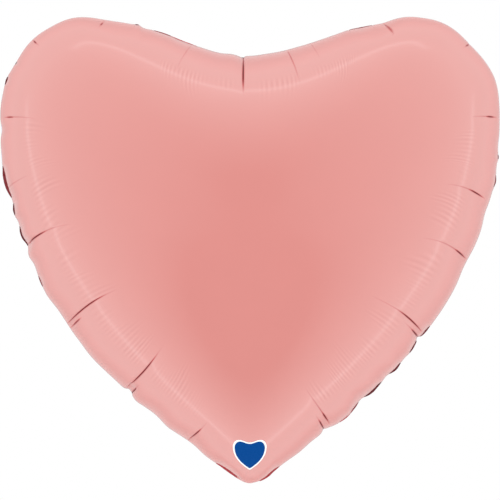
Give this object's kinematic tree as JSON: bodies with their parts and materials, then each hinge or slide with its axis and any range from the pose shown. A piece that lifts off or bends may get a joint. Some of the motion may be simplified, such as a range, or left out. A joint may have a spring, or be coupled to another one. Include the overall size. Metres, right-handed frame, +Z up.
{
  "type": "heart-shaped foil balloon",
  "caption": "Inflated heart-shaped foil balloon: two heat-sealed metallised films, with a flat filling neck and its self-closing film valve folded up behind the tip.",
  "frame": {"origin": "tip of the heart, at its lowest point, in the plane of the seal, where the ribbon is tied", "axes": "+Z up through the middle of the heart, +X across it to the right as seen from the front, front face towards -Y"},
  "size_m": [0.385, 0.175, 0.36],
  "materials": {
    "outer_film": "pink metallised film with a soft satin lustre",
    "valve_film": "thin milky polyethylene film"
  },
  "bodies": {
    "envelope": {"front_panel": "outer_film", "back_panel": "outer_film", "valve_front_film_tongue": "valve_film", "valve_back_film_tongue": "valve_film"},
    "neck_root": {"neck_front_film_root": "outer_film", "neck_back_film_root": "outer_film", "valve_front_film_root": "valve_film", "valve_back_film_root": "valve_film"},
    "neck_end": {"neck_front_film_end": "outer_film", "neck_back_film_end": "outer_film", "valve_front_film_end": "valve_film", "valve_back_film_end": "valve_film"}
  },
  "joints": [
    {"name": "neck_fold", "type": "hinge", "parent": "envelope", "child": "neck_root", "pos_m": [0, 0.0014, 0.0003], "axis": [-1, 0, 0], "range_deg": [0, 150]},
    {"name": "neck_bend", "type": "hinge", "parent": "neck_root", "child": "neck_end", "pos_m": [0, 0.02551, 0.01004], "axis": [-1, 0, 0], "range_deg": [0, 90]}
  ]
}
